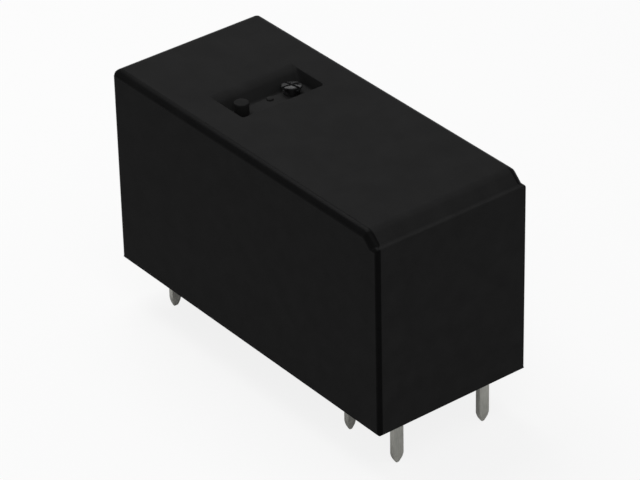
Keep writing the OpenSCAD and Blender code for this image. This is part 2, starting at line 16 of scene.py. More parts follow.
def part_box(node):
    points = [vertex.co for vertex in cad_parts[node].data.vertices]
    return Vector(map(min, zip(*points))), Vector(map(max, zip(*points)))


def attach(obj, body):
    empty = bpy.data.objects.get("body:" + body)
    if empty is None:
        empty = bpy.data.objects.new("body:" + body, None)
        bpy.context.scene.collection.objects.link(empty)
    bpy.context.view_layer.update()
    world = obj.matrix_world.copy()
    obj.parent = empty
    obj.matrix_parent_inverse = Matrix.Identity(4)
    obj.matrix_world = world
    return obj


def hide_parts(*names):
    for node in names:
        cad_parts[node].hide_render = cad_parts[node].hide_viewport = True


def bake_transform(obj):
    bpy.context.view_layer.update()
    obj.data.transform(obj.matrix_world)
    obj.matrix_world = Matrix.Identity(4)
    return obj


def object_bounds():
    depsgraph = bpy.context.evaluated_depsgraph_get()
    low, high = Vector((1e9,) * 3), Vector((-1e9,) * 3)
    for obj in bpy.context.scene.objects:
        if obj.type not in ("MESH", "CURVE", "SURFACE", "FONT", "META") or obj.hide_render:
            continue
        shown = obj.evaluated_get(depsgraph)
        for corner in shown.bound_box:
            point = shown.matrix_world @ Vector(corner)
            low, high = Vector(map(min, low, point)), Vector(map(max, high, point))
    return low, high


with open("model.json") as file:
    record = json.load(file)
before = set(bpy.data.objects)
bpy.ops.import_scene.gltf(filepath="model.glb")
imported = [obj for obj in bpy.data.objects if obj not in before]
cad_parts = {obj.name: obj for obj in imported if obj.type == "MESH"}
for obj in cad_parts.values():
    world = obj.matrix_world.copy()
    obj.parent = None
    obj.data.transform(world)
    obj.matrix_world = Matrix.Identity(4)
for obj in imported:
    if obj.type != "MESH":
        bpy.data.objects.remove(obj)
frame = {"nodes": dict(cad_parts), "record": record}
cad_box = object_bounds()
MM = 0.001
SLOT_OF = {subpart["node"]: subpart["material_slot"] for subpart in frame["record"]["subparts"]}
BODY_OF = {node: body for body, nodes in frame["record"]["behaviour"]["bodies"].items() for node in nodes}
print("relay of", [round(x / MM, 2) for x in cad_box[1] - cad_box[0]], "mm,", len(frame["nodes"]), "solids")

# %% [markdown]
# ## The camera
# The camera goes first, because every later choice is judged through it. The relay was seen from its
# contact end and a little from above, through a long lens that hardly bends its edges. An angle, a
# height, a slight roll and a distance say that more plainly than a matrix would.

# %% Camera
PICTURE_WIDTH_PX = 640
FOCAL_LENGTH_PX = 3603
view_turn = math.radians(-37.6)
view_height = math.radians(32.18)
view_roll = math.radians(-1.29)
view_distance = 246.5 * MM
aim = Vector((0.33, 0, 5.91)) * MM

toward_camera = Vector((
    math.cos(view_height) * math.cos(view_turn),
    math.cos(view_height) * math.sin(view_turn),
    math.sin(view_height),
))
camera_data = bpy.data.cameras.new("camera")
camera_data.lens = FOCAL_LENGTH_PX * camera_data.sensor_width / PICTURE_WIDTH_PX
camera_data.clip_start = 5 * MM
camera = bpy.data.objects.new("camera", camera_data)
camera.location = aim + view_distance * toward_camera
camera.rotation_mode = "QUATERNION"
look = (-toward_camera).to_track_quat("-Z", "Y")
camera.rotation_quaternion = look @ Quaternion((0, 0, 1), view_roll)
bpy.context.scene.collection.objects.link(camera)
bpy.context.scene.camera = camera
print("camera with a lens of", round(camera_data.lens, 1), "mm")

# %% [markdown]
# ## Helpers for finishes
# Every finish is made of nodes on Object coordinates, so it is fixed to the piece in real sizes and
# needs no picture. It could be painted as a picture instead, but that would need unwrapped pieces. The
# helpers build what most finishes share: a noise that varies colour and roughness, and a finer one
# that raises a bump.

# %% Material, coordinates and noise


def new_finish(name):
    """A material with its node tree, its shader and the Object coordinates."""
    material = bpy.data.materials.new(name)
    material.use_nodes = True
    tree = material.node_tree
    place = tree.nodes.new("ShaderNodeTexCoord").outputs["Object"]
    return material, tree, tree.nodes["Principled BSDF"], place


def stretched(tree, place, scale):
    """Coordinates scaled along each axis, for streaks and turns."""
    mapping = tree.nodes.new("ShaderNodeMapping")
    mapping.inputs["Scale"].default_value = scale
    tree.links.new(place, mapping.inputs["Vector"])
    return mapping.outputs["Vector"]


def noise(tree, place, size, detail=3):
    """A noise whose blotches have the given size."""
    texture = tree.nodes.new("ShaderNodeTexNoise")
    texture.inputs["Scale"].default_value = 1 / size
    texture.inputs["Detail"].default_value = detail
    tree.links.new(place, texture.inputs["Vector"])
    return texture.outputs["Fac"]


print("coordinates and noise ready")

# %% Colour, roughness and bump
NOISE_LOW, NOISE_HIGH = 0.3, 0.7


def vary_colour(tree, shader, source, dark, light):
    """Runs the base colour from dark to light with a source."""
    ramp = tree.nodes.new("ShaderNodeValToRGB")
    ramp.color_ramp.elements[0].position = NOISE_LOW
    ramp.color_ramp.elements[1].position = NOISE_HIGH
    ramp.color_ramp.elements[0].color = (*dark, 1)
    ramp.color_ramp.elements[1].color = (*light, 1)
    tree.links.new(source, ramp.inputs["Fac"])
    tree.links.new(ramp.outputs["Color"], shader.inputs["Base Color"])


def vary_roughness(tree, shader, source, low_value, high_value):
    """Runs the roughness between two values with a source."""
    span = tree.nodes.new("ShaderNodeMapRange")
    span.inputs["From Min"].default_value = NOISE_LOW
    span.inputs["From Max"].default_value = NOISE_HIGH
    span.inputs["To Min"].default_value = low_value
    span.inputs["To Max"].default_value = high_value
    tree.links.new(source, span.inputs["Value"])
    tree.links.new(span.outputs["Result"], shader.inputs["Roughness"])


def raise_bump(tree, shader, source, height, strength=0.5):
    """Raises a bump of a real height with a source."""
    bump = tree.nodes.new("ShaderNodeBump")
    bump.inputs["Distance"].default_value = height
    bump.inputs["Strength"].default_value = strength
    tree.links.new(source, bump.inputs["Height"])
    tree.links.new(bump.outputs["Normal"], shader.inputs["Normal"])


print("colour, roughness and bump ready")

# %% [markdown]
# ## Two kinds of finish
# Most pieces are either moulded plastic or drawn metal. A moulded skin has faint blotches and a fine
# grain. Rolled, drawn or plated metal has streaks along the direction in which it was worked, so its
# noise is stretched along one axis.

# %% Moulded plastic and drawn metal


def moulded(name, dark, light, roughness, blotch, grain, height, specular=0.5):
    """A moulded plastic: faint blotches in its colour and a fine grain on its skin."""
    material, tree, shader, place = new_finish(name)
    shader.inputs["Specular IOR Level"].default_value = specular
    blotches = noise(tree, place, blotch)
    vary_colour(tree, shader, blotches, dark, light)
    vary_roughness(tree, shader, blotches, *roughness)
    raise_bump(tree, shader, noise(tree, place, grain, 2), height)
    return material


def drawn_metal(name, dark, light, roughness, stretch, streak, height, metallic=1.0):
    """A rolled, drawn or plated metal: streaks along one direction."""
    material, tree, shader, place = new_finish(name)
    shader.inputs["Metallic"].default_value = metallic
    streaks = noise(tree, stretched(tree, place, stretch), streak, 4)
    vary_colour(tree, shader, streaks, dark, light)
    vary_roughness(tree, shader, streaks, *roughness)
    raise_bump(tree, shader, streaks, height, 0.3)
    return material


print("two kinds of finish ready")

# %% [markdown]
# ## The cover's black plastic
# The flat faces of the mould are spark eroded, which leaves a fine grain that scatters light, so they look
# dark grey. The pocket's grain is coarser, and its colour is painted paler: painted light that makes up for
# the shade in the pocket. The rounded outer edges are painted much blacker, a painted shade for the dark
# reflection along them. The nib is melted shut with a hot tool, which leaves it glossy, and its paler spots
# are painted highlights. Four finishes of one plastic show these differences.

# %% Cover finishes
grained_black = moulded(
    "grained_black", (0.0150, 0.0150, 0.0151), (0.0178, 0.0178, 0.0179), (0.55, 0.65),
    1.6 * MM, 0.12 * MM, 0.012 * MM, specular=0.005,
)
# Painted light: a coarser grain, with a paler colour that makes up for the shade inside the pocket.
coarse_painted_light_black = moulded(
    "coarse_painted_light_black", (0.0190, 0.0190, 0.0191), (0.0230, 0.0230, 0.0231), (0.6, 0.7),
    1.2 * MM, 0.15 * MM, 0.015 * MM, specular=0.005,
)
# Painted shade: the rounded edges are painted much blacker, for the dark reflection along them.
edge_painted_shade_black = moulded(
    "edge_painted_shade_black", (0.0028, 0.0028, 0.0029), (0.0036, 0.0036, 0.0037), (0.25, 0.35),
    1.6 * MM, 0.4 * MM, 0.003 * MM, specular=0.022,
)
# Painted highlights: the colour runs from near black to pale spots, which stand for the broken highlights
# on the nib's head.
melted_painted_highlight_black = moulded(
    "melted_painted_highlight_black", (0.002, 0.002, 0.0021), (0.045, 0.045, 0.046), (0.16, 0.3),
    0.45 * MM, 0.35 * MM, 0.05 * MM, specular=0.22,
)
COVER_FINISHES = (grained_black, edge_painted_shade_black, coarse_painted_light_black, melted_painted_highlight_black)
print("cover finishes:", [finish.name for finish in COVER_FINISHES])

# %% [markdown]
# ## Finishes of the other pieces
# The pins are tinned copper with streaks along their length. The iron parts are plated, the springs
# are rolled bronze, the coil is enamelled wire under amber tape, and the bobbin and card are pale
# plastics. The pieces inside the sealed cover can't be seen from outside, but each gets its own finish.

# %% Finishes by material slot
ALONG_Z, ALONG_X, ALL_ROUND = (6, 6, 1), (1, 6, 6), (1, 1, 1)
FINISHES = {
    "base_plastic": moulded(
        "base_black", (0.012, 0.012, 0.013), (0.02, 0.02, 0.021), (0.55, 0.7),
        1.2 * MM, 0.15 * MM, 0.01 * MM,
    ),
    "resin": moulded(
        "potting_resin", (0.012, 0.010, 0.008), (0.024, 0.018, 0.013), (0.08, 0.22),
        2.5 * MM, 3 * MM, 0.06 * MM,
    ),
    "tinned_copper": drawn_metal(
        "tinned_copper", (0.38, 0.38, 0.35), (0.48, 0.48, 0.445), (0.35, 0.5),
        ALONG_Z, 0.5 * MM, 0.004 * MM,
    ),
    "bobbin_plastic": moulded(
        "bobbin_cream", (0.58, 0.53, 0.41), (0.68, 0.64, 0.52), (0.4, 0.55),
        1.5 * MM, 0.1 * MM, 0.008 * MM,
    ),
    "enamelled_wire": drawn_metal(
        "enamelled_wire", (0.41, 0.14, 0.05), (0.50, 0.19, 0.075), (0.25, 0.35),
        ALL_ROUND, 1.5 * MM, 0.001 * MM,
    ),
    "tape": moulded(
        "amber_tape", (0.58, 0.36, 0.05), (0.68, 0.45, 0.07), (0.12, 0.25),
        2 * MM, 0.5 * MM, 0.01 * MM,
    ),
    "soft_iron": drawn_metal(
        "plated_iron", (0.36, 0.37, 0.38), (0.46, 0.47, 0.48), (0.3, 0.45),
        ALONG_X, 0.5 * MM, 0.004 * MM,
    ),
    "spring_bronze": drawn_metal(
        "spring_bronze", (0.48, 0.28, 0.10), (0.60, 0.37, 0.15), (0.25, 0.4),
        ALONG_Z, 0.4 * MM, 0.003 * MM,
    ),
    "card_plastic": moulded(
        "card_white", (0.70, 0.68, 0.62), (0.78, 0.76, 0.70), (0.4, 0.5),
        1.5 * MM, 0.12 * MM, 0.006 * MM,
    ),
    "contact_silver": drawn_metal(
        "contact_silver", (0.74, 0.73, 0.70), (0.80, 0.79, 0.76), (0.3, 0.4),
        ALL_ROUND, 0.5 * MM, 0.001 * MM,
    ),
}
print(len(FINISHES), "more finishes")

# %% [markdown]
# ## Tools for the hands
# By hand one clicks on faces and edges. In code they are chosen by their place and direction instead,
# and then the same operators act on them. These helpers add a primitive, choose parts of a mesh and
# apply a modifier, so that the steps below stay short.

# %% Helpers that add a primitive


def select_only(piece):
    """Selects one object and makes it the active one."""
    bpy.ops.object.select_all(action="DESELECT")
    piece.select_set(True)
    bpy.context.view_layer.objects.active = piece


def name_piece(name):
    """Names the object that was just added, and puts its place into its mesh."""
    piece = bpy.context.active_object
    piece.name = name
    piece.data.name = name
    bpy.ops.object.transform_apply(location=True, rotation=True, scale=True)
    return piece


def add_block(name, low, high):
    """A cube primitive, brought to two corners."""
    bpy.ops.object.select_all(action="DESELECT")
    bpy.ops.mesh.primitive_cube_add(size=1, location=(Vector(low) + Vector(high)) / 2)
    bpy.context.active_object.scale = Vector(high) - Vector(low)
    return name_piece(name)


def add_round(name, radius, low, high, sides=48):
    """A cylinder primitive between two points."""
    bpy.ops.object.select_all(action="DESELECT")
    run = Vector(high) - Vector(low)
    bpy.ops.mesh.primitive_cylinder_add(
        vertices=sides, radius=radius, depth=run.length, location=(Vector(low) + Vector(high)) / 2
    )
    bpy.context.active_object.rotation_euler = run.to_track_quat("Z", "Y").to_euler()
    return name_piece(name)


print("helpers for primitives ready")

# %% Helpers for edit mode
TOUCH, FACING = 0.01 * MM, 0.9


def near(a, b):
    """Tells whether two places along an axis are the same."""
    return abs(a - b) < TOUCH


def edit(piece, kind):
    """Opens one piece in edit mode, to choose its VERT, EDGE or FACE parts."""
    select_only(piece)
    bpy.ops.object.mode_set(mode="EDIT")
    bpy.ops.mesh.select_mode(type=kind)


def leave_edit():
    """Goes back from edit mode to object mode."""
    bpy.ops.object.mode_set(mode="OBJECT")


print("helpers for edit mode ready")

# %% Helpers that choose faces, edges and points


def choose_faces(piece, test):
    """Selects the faces whose middle and normal pass a test."""
    bpy.ops.mesh.select_all(action="DESELECT")
    mesh = bmesh.from_edit_mesh(piece.data)
    mesh.normal_update()
    for face in mesh.faces:
        face.select_set(test(face.calc_center_median(), face.normal))
    bmesh.update_edit_mesh(piece.data)


def choose_edges(piece, test):
    """Selects the edges whose two ends pass a test."""
    bpy.ops.mesh.select_all(action="DESELECT")
    mesh = bmesh.from_edit_mesh(piece.data)
    for edge in mesh.edges:
        edge.select_set(test(edge.verts[0].co, edge.verts[1].co))
    bmesh.update_edit_mesh(piece.data)


def choose_points(piece, test):
    """Selects the vertices that pass a test."""
    bpy.ops.mesh.select_all(action="DESELECT")
    mesh = bmesh.from_edit_mesh(piece.data)
    for vertex in mesh.verts:
        vertex.select_set(test(vertex.co))
    bmesh.update_edit_mesh(piece.data)


print("helpers that choose ready")

# %% Helpers for modifiers
SMOOTH_ANGLE = math.radians(40)


def apply_modifier(piece, kind, **settings):
    """Adds a modifier with its settings, and applies it."""
    select_only(piece)
    modifier = piece.modifiers.new(kind.lower(), kind)
    for setting, value in settings.items():
        setattr(modifier, setting, value)
    bpy.ops.object.modifier_apply(modifier=modifier.name)


def fuse(piece, other, operation):
    """Joins another object to a piece, or cuts it out, and removes that object."""
    apply_modifier(piece, "BOOLEAN", object=other, operation=operation, solver="EXACT")
    bpy.data.objects.remove(other)


def smooth(piece):
    """Smooths round faces and keeps large faces flat."""
    select_only(piece)
    bpy.ops.object.shade_smooth_by_angle(angle=SMOOTH_ANGLE)
    apply_modifier(piece, "WEIGHTED_NORMAL", keep_sharp=True)


print("helpers for modifiers ready")

# %% Helpers that finish a piece


def give_finish(piece, finish, test):
    """Gives the chosen faces one of the piece's finishes."""
    edit(piece, "FACE")
    choose_faces(piece, test)
    piece.active_material_index = piece.data.materials.find(finish.name)
    bpy.ops.object.material_slot_assign()
    leave_edit()


def stand_for(piece, node):
    """Lets a piece stand for a solid: it hides the solid and takes the finish of the solid's slot, where
    there is one.
    """
    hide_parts(node)
    if SLOT_OF[node] in FINISHES:
        piece.data.materials.clear()
        piece.data.materials.append(FINISHES[SLOT_OF[node]])


print("helpers for finishing ready")

# %% [markdown]
# ## The cover
# The cover is one thin moulding, open towards the board. It could be cut from a block with booleans,
# but those leave untidy faces to round afterwards. Modelled by hand it stays clean: a block, whose
# upper edge at the contact end comes down to a slope and a narrow ledge, and whose underside is inset
# and pushed up to hollow it.

# %% Block with a slope and a ledge, hollowed from below
slope_run, slope_drop, ledge_width = 0.9 * MM, 0.85 * MM, 0.3 * MM
wall, roof = 0.7 * MM, 0.9 * MM

low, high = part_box("cover")
ledge_x = high.x - ledge_width
roof_z = high.z - roof
cover = add_block("cover_shell", low, high)
for finish in COVER_FINISHES:
    cover.data.materials.append(finish)
edit(cover, "FACE")
for x in (ledge_x - slope_run, ledge_x):
    choose_faces(cover, lambda middle, normal: near(middle.z, high.z))
    bpy.ops.mesh.bisect(plane_co=(x, 0, 0), plane_no=(1, 0, 0))
bpy.ops.mesh.select_mode(type="VERT")
choose_points(cover, lambda point: near(point.z, high.z) and point.x > ledge_x - TOUCH)
bpy.ops.transform.translate(value=(0, 0, -slope_drop))
bpy.ops.mesh.select_mode(type="FACE")
choose_faces(cover, lambda middle, normal: normal.z < -FACING)
bpy.ops.mesh.inset(thickness=wall)
bpy.ops.mesh.extrude_region_move(TRANSFORM_OT_translate={"value": (0, 0, roof_z)})
leave_edit()
print("cover block with", len(cover.data.polygons), "faces")

# %% [markdown]
# ## The vent pocket
# A shallow pocket in the top holds a peg and a split nib. Its outline is cut into the top face with
# four bisects, and the middle face is pushed down. The roof under it is pushed down as far, so the
# pocket hangs into the hollow as a tub with the same wall, as it does in the mould. The wall at the coil
# end leans back, so the foot of that wall is moved into the pocket.

# %% Pocket in the top and its tub below
pocket_inset, pocket_length, pocket_width = 7.85 * MM, 3.35 * MM, 7.0 * MM
pocket_depth, pocket_lean = 1.1 * MM, 0.75 * MM
pocket_x = (low.x + pocket_inset, low.x + pocket_inset + pocket_length)
pocket_floor_z = high.z - pocket_depth


def sink_pocket(z, spare, depth):
    """Cuts a rectangle into the level face at height z and pushes it down."""
    x0, x1 = pocket_x[0] - spare, pocket_x[1] + spare
    half = pocket_width / 2 + spare
    level = lambda middle, normal: near(middle.z, z) and abs(normal.z) > FACING
    between = lambda middle, normal: level(middle, normal) and x0 < middle.x < x1
    for x in (x0, x1):
        choose_faces(cover, level)
        bpy.ops.mesh.bisect(plane_co=(x, 0, 0), plane_no=(1, 0, 0))
    for y in (-half, half):
        choose_faces(cover, between)
        bpy.ops.mesh.bisect(plane_co=(0, y, 0), plane_no=(0, 1, 0))
    choose_faces(cover, lambda middle, normal: between(middle, normal) and abs(middle.y) < half)
    bpy.ops.mesh.extrude_region_move(TRANSFORM_OT_translate={"value": (0, 0, -depth)})


edit(cover, "FACE")
sink_pocket(high.z, 0, pocket_depth)
sink_pocket(roof_z, wall, pocket_depth)
bpy.ops.mesh.select_mode(type="VERT")
choose_points(cover, lambda point: near(point.z, pocket_floor_z) and near(point.x, pocket_x[0]))
bpy.ops.transform.translate(value=(pocket_lean, 0, 0))
leave_edit()
print("pocket floor at", round(pocket_floor_z / MM, 2), "mm")

# %% [markdown]
# ## Rounding the cover
# No moulded edge is sharp. Each edge gets a bevel weight, as with the slider in the sidebar, and one Bevel
# modifier then rounds them all: the long upper edges most, the upright edges less, the pocket's rim only a
# little apart from its soft lip at the coil end. The modifier also gives the rounded faces the second
# finish, whose much blacker colour is painted shade for the dark reflection along the edges.

# %% Kinds of edges and their radii
top_radius = 0.55 * MM
EDGE_RADIUS = {
    "top": top_radius, "upright": 0.3 * MM, "slope": 0.35 * MM, "slope_foot": 0.12 * MM,
    "ledge": 0.15 * MM, "rim": 0.06 * MM, "lip": 0.5 * MM, "pocket": 0.07 * MM,
    "pocket_corner": 0.3 * MM, "pocket_floor": 0.12 * MM,
}
half_pocket = pocket_width / 2


def on_pocket(p):
    """Tells whether a point lies over the pocket or on its outline."""
    in_x = pocket_x[0] - TOUCH < p.x < pocket_x[1] + TOUCH
    return in_x and abs(p.y) < half_pocket + TOUCH


def pocket_edge_kind(a, b):
    """Names the kind of an edge of the pocket."""
    if not near(a.z, b.z):
        return "pocket_corner"
    if near(a.z, pocket_floor_z):
        return "pocket_floor"
    return "lip" if near(a.x, pocket_x[0]) and near(b.x, pocket_x[0]) else "pocket"


def edge_kind(a, b):
    """Names the kind of edge that lies between two points of the cover, or gives None."""
    outside = lambda p: near(p.x, low.x) or near(p.x, high.x) or near(abs(p.y), high.y)
    if on_pocket(a) and on_pocket(b) and min(a.z, b.z) > pocket_floor_z - TOUCH:
        return pocket_edge_kind(a, b)
    if not (outside(a) and outside(b)):
        return None
    if near(a.z, 0) and near(b.z, 0):
        return "rim"
    if near(a.x, b.x) and near(a.y, b.y):
        return "upright"
    if near(a.x, b.x) and near(a.x, high.x):
        return "ledge"
    if near(a.y, b.y) and min(a.x, b.x) > ledge_x - TOUCH:
        return "upright"
    if near(a.y, b.y) or near(a.x, low.x) and near(b.x, low.x):
        return "top"
    if near(a.x, b.x) and a.x > pocket_x[1]:
        return "slope" if near(a.z, high.z) and a.x < ledge_x - TOUCH else "slope_foot"
    return None


print(len(EDGE_RADIUS), "kinds of edges")

# %% Bevel weights and rounding
edit(cover, "EDGE")
for kind, radius in EDGE_RADIUS.items():
    choose_edges(cover, lambda a, b: edge_kind(a, b) == kind)
    bpy.ops.transform.edge_bevelweight(value=radius / top_radius)
leave_edit()
# The rounded faces take the blacker finish, which is painted shade for the dark reflection along the edges.
apply_modifier(
    cover, "BEVEL", width=top_radius, segments=5, limit_method="WEIGHT", use_clamp_overlap=False,
    material=COVER_FINISHES.index(edge_painted_shade_black),
)
print("rounded cover with", len(cover.data.polygons), "faces")

# %% [markdown]
# Only the outer edges keep the painted shade of the blacker finish. The slope's edges and the pocket's soft
# lip keep the grain of the top, and the rest of the pocket gets the coarser grain, whose paler colour is
# painted light.

# %% Grain on the slope and in the pocket
LIP_FACING = 0.3


def in_pocket_or_slope(middle, normal):
    """Chooses all faces of the top that lie inside its outer rounding."""
    inside_ends = abs(middle.y) < high.y - top_radius and low.x + top_radius < middle.x
    return inside_ends and middle.z > roof_z - pocket_depth and middle.x < high.x


def in_pocket(middle, normal):
    """Chooses the pocket's sunk faces, apart from its lip and the wall that leans below it."""
    sunk = pocket_floor_z - TOUCH < middle.z < high.z - EDGE_RADIUS["pocket"] / 2
    return sunk and on_pocket(middle) and normal.x < LIP_FACING


give_finish(cover, grained_black, in_pocket_or_slope)
# The pocket's faces are painted paler: painted light against the shade in the pocket.
give_finish(cover, coarse_painted_light_black, in_pocket)
for index, finish in enumerate(COVER_FINISHES):
    print(finish.name, "on", sum(face.material_index == index for face in cover.data.polygons), "faces")

# %% [markdown]
# ## Peg, gate mark and nib
# All three stand on the pocket's floor and belong to the same moulding, so they are modelled apart and
# then fused to the cover with a Boolean union. The gate mark is the low stub that is left where the
# plastic ran into the mould. The nib is a short cylinder, extruded up and scaled out. Its rim is rounded
# before the cross is cut into it, because a bevel after the cut would overlap at the narrow corners. Four
# round lobes are left, which catch the light, and the whole head leans a little, as the hot tool left it.

# %% Peg and gate mark
peg_diameter, peg_height, peg_y = 1.05 * MM, 0.9 * MM, -2.1 * MM
gate_diameter, gate_height, gate_y = 0.5 * MM, 0.15 * MM, 0.5 * MM
stand_back, gate_back, peg_edge = 0.35 * MM, 0.25 * MM, 0.07 * MM
stand_x = sum(pocket_x) / 2 - stand_back
sunk = -roof / 2


def at_floor(y, rise, back=0):
    """A point over the pocket's floor, in the row of the peg and the nib or behind it."""
    return Vector((stand_x - back, y, pocket_floor_z + rise))


peg = add_round("peg", peg_diameter / 2, at_floor(peg_y, sunk), at_floor(peg_y, peg_height))
gate = add_round(
    "gate", gate_diameter / 2, at_floor(gate_y, sunk, gate_back), at_floor(gate_y, gate_height, gate_back)
)
# The gate mark in the pocket takes the same paler finish, painted light.
for part, finish in ((peg, grained_black), (gate, coarse_painted_light_black)):
    apply_modifier(part, "BEVEL", width=peg_edge, segments=3, limit_method="ANGLE")
    part.data.materials.append(finish)
print("peg of", len(peg.data.polygons), "faces")

# %% Nib with a split top
nib_foot, nib_top, nib_height, nib_y = 1.1 * MM, 1.6 * MM, 0.67 * MM, 2.2 * MM
split_width, split_depth, lobe_radius = 0.25 * MM, 0.3 * MM, 0.13 * MM
nib_lean = {"X": math.radians(6.6), "Y": math.radians(8.6)}

nib_centre = at_floor(nib_y, nib_height)
nib = add_round("nib", nib_foot / 2, at_floor(nib_y, sunk), at_floor(nib_y, 0))
edit(nib, "FACE")
choose_faces(nib, lambda middle, normal: normal.z > FACING)
bpy.ops.mesh.extrude_region_move(TRANSFORM_OT_translate={"value": (0, 0, nib_height)})
bpy.ops.transform.resize(value=(nib_top / nib_foot, nib_top / nib_foot, 1), center_override=nib_centre)
bpy.ops.mesh.select_mode(type="EDGE")
choose_edges(nib, lambda a, b: near(a.z, nib_centre.z) and near(b.z, nib_centre.z))
bpy.ops.mesh.bevel(offset=lobe_radius, segments=6, affect="EDGES")
leave_edit()
reach = Vector((nib_top, split_width / 2, split_depth))
for side in (reach, reach.yxz):
    fuse(nib, add_block("split", nib_centre - side, nib_centre + side), "DIFFERENCE")
edit(nib, "VERT")
choose_points(nib, lambda point: point.z > pocket_floor_z + TOUCH)
for axis, lean in nib_lean.items():
    bpy.ops.transform.rotate(value=lean, orient_axis=axis, center_override=nib_centre)
leave_edit()
# The nib takes the finish with painted highlights.
nib.data.materials.append(melted_painted_highlight_black)
print("nib of", len(nib.data.polygons), "faces")

# %% Fuse them to the cover
for part in (peg, gate, nib):
    fuse(cover, part, "UNION")
smooth(cover)
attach(cover, BODY_OF["cover"])
stand_for(cover, "cover")
print("cover with peg, gate mark and nib:", len(cover.data.polygons), "faces")

# %% [markdown]
# ## Softer copies of exact solids
# Stamped iron and small mouldings have the shapes of their solids, but never knife edges. Modelling
# each one again would only repeat its sizes, so a copy of the solid is merged, its flat faces are
# joined up and a narrow Bevel rounds its edges, which is what tumbling does to the real pieces.

# %% Helpers for softer copies
MERGE_DISTANCE = 0.0005 * MM
FLAT_ANGLE, EDGE_ANGLE = math.radians(1), math.radians(35)


def copy_solid(node, name, pierced=False):
    """A merged copy of a solid, with whole flat faces where no holes pierce them."""
    piece = bpy.data.objects.new(name, frame["nodes"][node].data.copy())
    bpy.context.scene.collection.objects.link(piece)
    edit(piece, "VERT")
    bpy.ops.mesh.select_all(action="SELECT")
    bpy.ops.mesh.remove_doubles(threshold=MERGE_DISTANCE)
    if not pierced:
        bpy.ops.mesh.dissolve_limited(angle_limit=FLAT_ANGLE)
    leave_edit()
    return piece


def round_edges(piece, width, pierced=False):
    """Rounds every clear edge of a piece."""
    apply_modifier(
        piece, "BEVEL", width=width, segments=2, limit_method="ANGLE", angle_limit=EDGE_ANGLE,
        use_clamp_overlap=not pierced,
    )


def soften(piece, width, pierced=False):
    """Rounds the edges of a piece and smooths them."""
    round_edges(piece, width, pierced)
    smooth(piece)


print("helpers for softer copies ready")

# %% [markdown]
# ## Pins and terminals
# The pins are stamped from tinned sheet, and their ends are coined to a blunt point, so the shoulders
# of the taper are rounder than the other edges. Those shoulders are bevelled first in edit mode, and
# the narrow rounding follows.

# %% Terminals
tip_length, shoulder_radius, pin_edge = 0.55 * MM, 0.2 * MM, 0.05 * MM

for node in ("no_terminal", "com_terminal", "coil_terminal_1", "coil_terminal_2"):
    terminal = copy_solid(node, node + "_tinned")
    shoulder_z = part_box(node)[0].z + tip_length
    edit(terminal, "EDGE")
    choose_edges(terminal, lambda a, b: near(a.z, shoulder_z) and near(b.z, shoulder_z))
    bpy.ops.mesh.bevel(offset=shoulder_radius, segments=4, affect="EDGES")
    leave_edit()
    soften(terminal, pin_edge)
    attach(terminal, BODY_OF[node])
    stand_for(terminal, node)
    print(terminal.name, "with", len(terminal.data.polygons), "faces")

# %% [markdown]
# ## Pieces inside
# The base, the bobbin, the iron of the magnet, the card, the contacts and the rivets are softened in
# the same way. Thin sheet gets a narrower rounding than solid iron. The base and the bobbin have holes
# through their flat faces. One large face can't go round a hole cleanly, so these two keep their small
# faces.

# %% Softened pieces inside
EDGE_ROUNDING = {
    "base": 0.05 * MM, "bobbin": 0.04 * MM, "coil_tape": 0.02 * MM, "core": 0.1 * MM, "yoke": 0.1 * MM,
    "armature": 0.1 * MM, "hinge_spring": 0.03 * MM, "actuator_card": 0.1 * MM, "moving_contact": 0.08 * MM,
    "spring_rivet_1": 0.1 * MM, "spring_rivet_2": 0.1 * MM, "no_contact": 0.08 * MM,
}
PIERCED = ("base", "bobbin")
for node, width in EDGE_ROUNDING.items():
    piece = copy_solid(node, node + "_soft", node in PIERCED)
    soften(piece, width, node in PIERCED)
    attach(piece, BODY_OF[node])
    stand_for(piece, node)
    print(piece.name, "with", len(piece.data.polygons), "faces")

# %% [markdown]
# ## The contact leaf
# The moving contact sits on a bronze leaf that is riveted at its foot and bends above the rivets. A rigid
# leaf would tear away from its foot when the contacts close. So it is cut across into narrow bands over the
# height where it bends.

# %% Contact leaf cut into bands
leaf_edge, band_height = 0.04 * MM, 0.25 * MM
bend_start_z, bend_end_z = 5.2 * MM, 7.6 * MM

leaf = copy_solid("moving_spring", "contact_leaf_bending")
round_edges(leaf, leaf_edge)
edit(leaf, "FACE")
for band in range(round((bend_end_z - bend_start_z) / band_height) + 1):
    bpy.ops.mesh.select_all(action="SELECT")
    bpy.ops.mesh.bisect(plane_co=(0, 0, bend_start_z + band * band_height), plane_no=(0, 0, 1))
leave_edit()
smooth(leaf)
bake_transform(leaf)
stand_for(leaf, "moving_spring")
print("leaf with", len(leaf.data.polygons), "faces")

# %% [markdown]
# ## The winding
# A coil is one long wire. Rings could be stacked with an Array, but a Screw modifier winds a small
# circle into a true helix, as the winding machine does. Only the outermost layer is wound, over a
# plain sleeve that stands for the layers below, and both ends run to the pins and are wrapped there.

# %% Helper that winds a wire
WIRE_SIDES, WIRE_STEPS, LEAD_SIDES = 8, 40, 12


